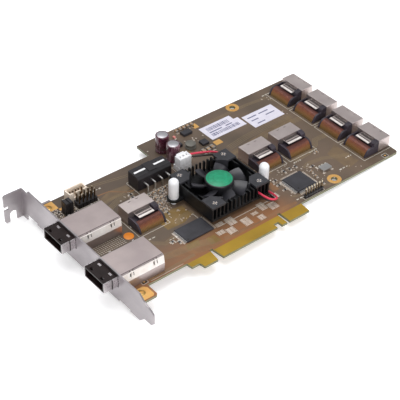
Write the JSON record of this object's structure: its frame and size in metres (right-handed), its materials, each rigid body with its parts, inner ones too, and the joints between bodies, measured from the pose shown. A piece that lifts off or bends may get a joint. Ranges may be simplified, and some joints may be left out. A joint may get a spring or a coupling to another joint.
{
  "type": "sas expander card",
  "caption": "Full-height expansion-slot card that fans serial storage lanes out to internal and external ports, with a fan-cooled chip and its own power header.",
  "frame": {"origin": "bracket's outer face, at the board's near long edge, in the plane of the board's component face", "axes": "+X along the card away from the bracket, +Y from the edge with the tongue to the far edge, +Z out of the component face"},
  "size_m": [0.2122, 0.1238, 0.0259],
  "materials": {
    "board": "olive-brown solder mask over fibreglass",
    "bracket_steel": "satin zinc-plated sheet",
    "nickel_shell": "satin nickel-plated sheet",
    "bright_shield": "bright nickel plate",
    "brass": "plain brass",
    "contact_copper": "dull copper alloy",
    "pin_gold": "flash-gold plate",
    "tinned": "tin plate",
    "black_moulding": "black glass-filled moulding",
    "fan_plastic": "slate-black moulding",
    "black_anodised": "black anodised",
    "chip_package": "black epoxy",
    "thermal_pad": "grey filled silicone",
    "label_green": "printed film",
    "screw_steel": "bright zinc plate",
    "shaft_steel": "ground steel",
    "magnet": "bonded ferrite",
    "stator_steel": "laminated steel with windings",
    "white_nylon": "natural white nylon",
    "cream_nylon": "cream nylon",
    "red_lead": "red PVC insulation",
    "black_lead": "black PVC insulation",
    "capacitor_sleeve": "maroon sleeve with aluminium top",
    "ceramic": "tan ceramic with tinned ends",
    "resistor": "black film with tinned ends",
    "lamp": "small clear lamp",
    "label_paper": "white label",
    "sticker_orange": "orange film",
    "ferrite": "grey-green ferrite"
  },
  "bodies": {
    "card": {"circuit_board": "board", "bracket": "bracket_steel", "bracket_rivets": "brass", "rear_port_contacts": "pin_gold", "drive_port_contacts": "contact_copper", "expander_chip": "chip_package", "thermal_pad": "thermal_pad", "heatsink": "black_anodised", "fan_frame": "fan_plastic", "fan_stator": "stator_steel", "fan_screws": "screw_steel", "push_pins": "white_nylon", "power_header_housing": "black_moulding", "power_header_pins": "tinned", "fan_header": "white_nylon", "fan_plug": "white_nylon", "fan_lead_red": "red_lead", "fan_lead_black": "black_lead", "service_header": "cream_nylon", "pin_header_bases": "black_moulding", "header_pins": "pin_gold", "jumper_caps": "black_moulding", "controller_chip": "chip_package", "flash_chip": "chip_package", "chip_leads": "tinned", "power_chips": "chip_package", "electrolytic_capacitors": "capacitor_sleeve", "oscillator": "tinned", "inductor": "ferrite", "ceramic_capacitors": "ceramic", "resistors": "resistor", "power_lamp": "lamp", "product_labels": "label_paper", "round_sticker": "sticker_orange", "rear_port_1_cage": "nickel_shell", "rear_port_1_housing": "black_moulding", "rear_port_1_shield": "bright_shield", "rear_port_2_cage": "nickel_shell", "rear_port_2_housing": "black_moulding", "rear_port_2_shield": "bright_shield", "drive_port_1_shell": "nickel_shell", "drive_port_1_housing": "black_moulding", "drive_port_2_shell": "nickel_shell", "drive_port_2_housing": "black_moulding", "drive_port_3_shell": "nickel_shell", "drive_port_3_housing": "black_moulding", "drive_port_4_shell": "nickel_shell", "drive_port_4_housing": "black_moulding", "drive_port_5_shell": "nickel_shell", "drive_port_5_housing": "black_moulding", "drive_port_6_shell": "nickel_shell", "drive_port_6_housing": "black_moulding", "drive_port_7_shell": "nickel_shell", "drive_port_7_housing": "black_moulding"},
    "impeller": {"impeller": "fan_plastic", "fan_shaft": "shaft_steel", "magnet_ring": "magnet", "hub_label": "label_green"}
  },
  "joints": [
    {"name": "fan_spin", "type": "hinge", "parent": "card", "child": "impeller", "pos_m": [0.0911, 0.034, 0.0085], "axis": [0, 0, 1], "continuous": true}
  ]
}
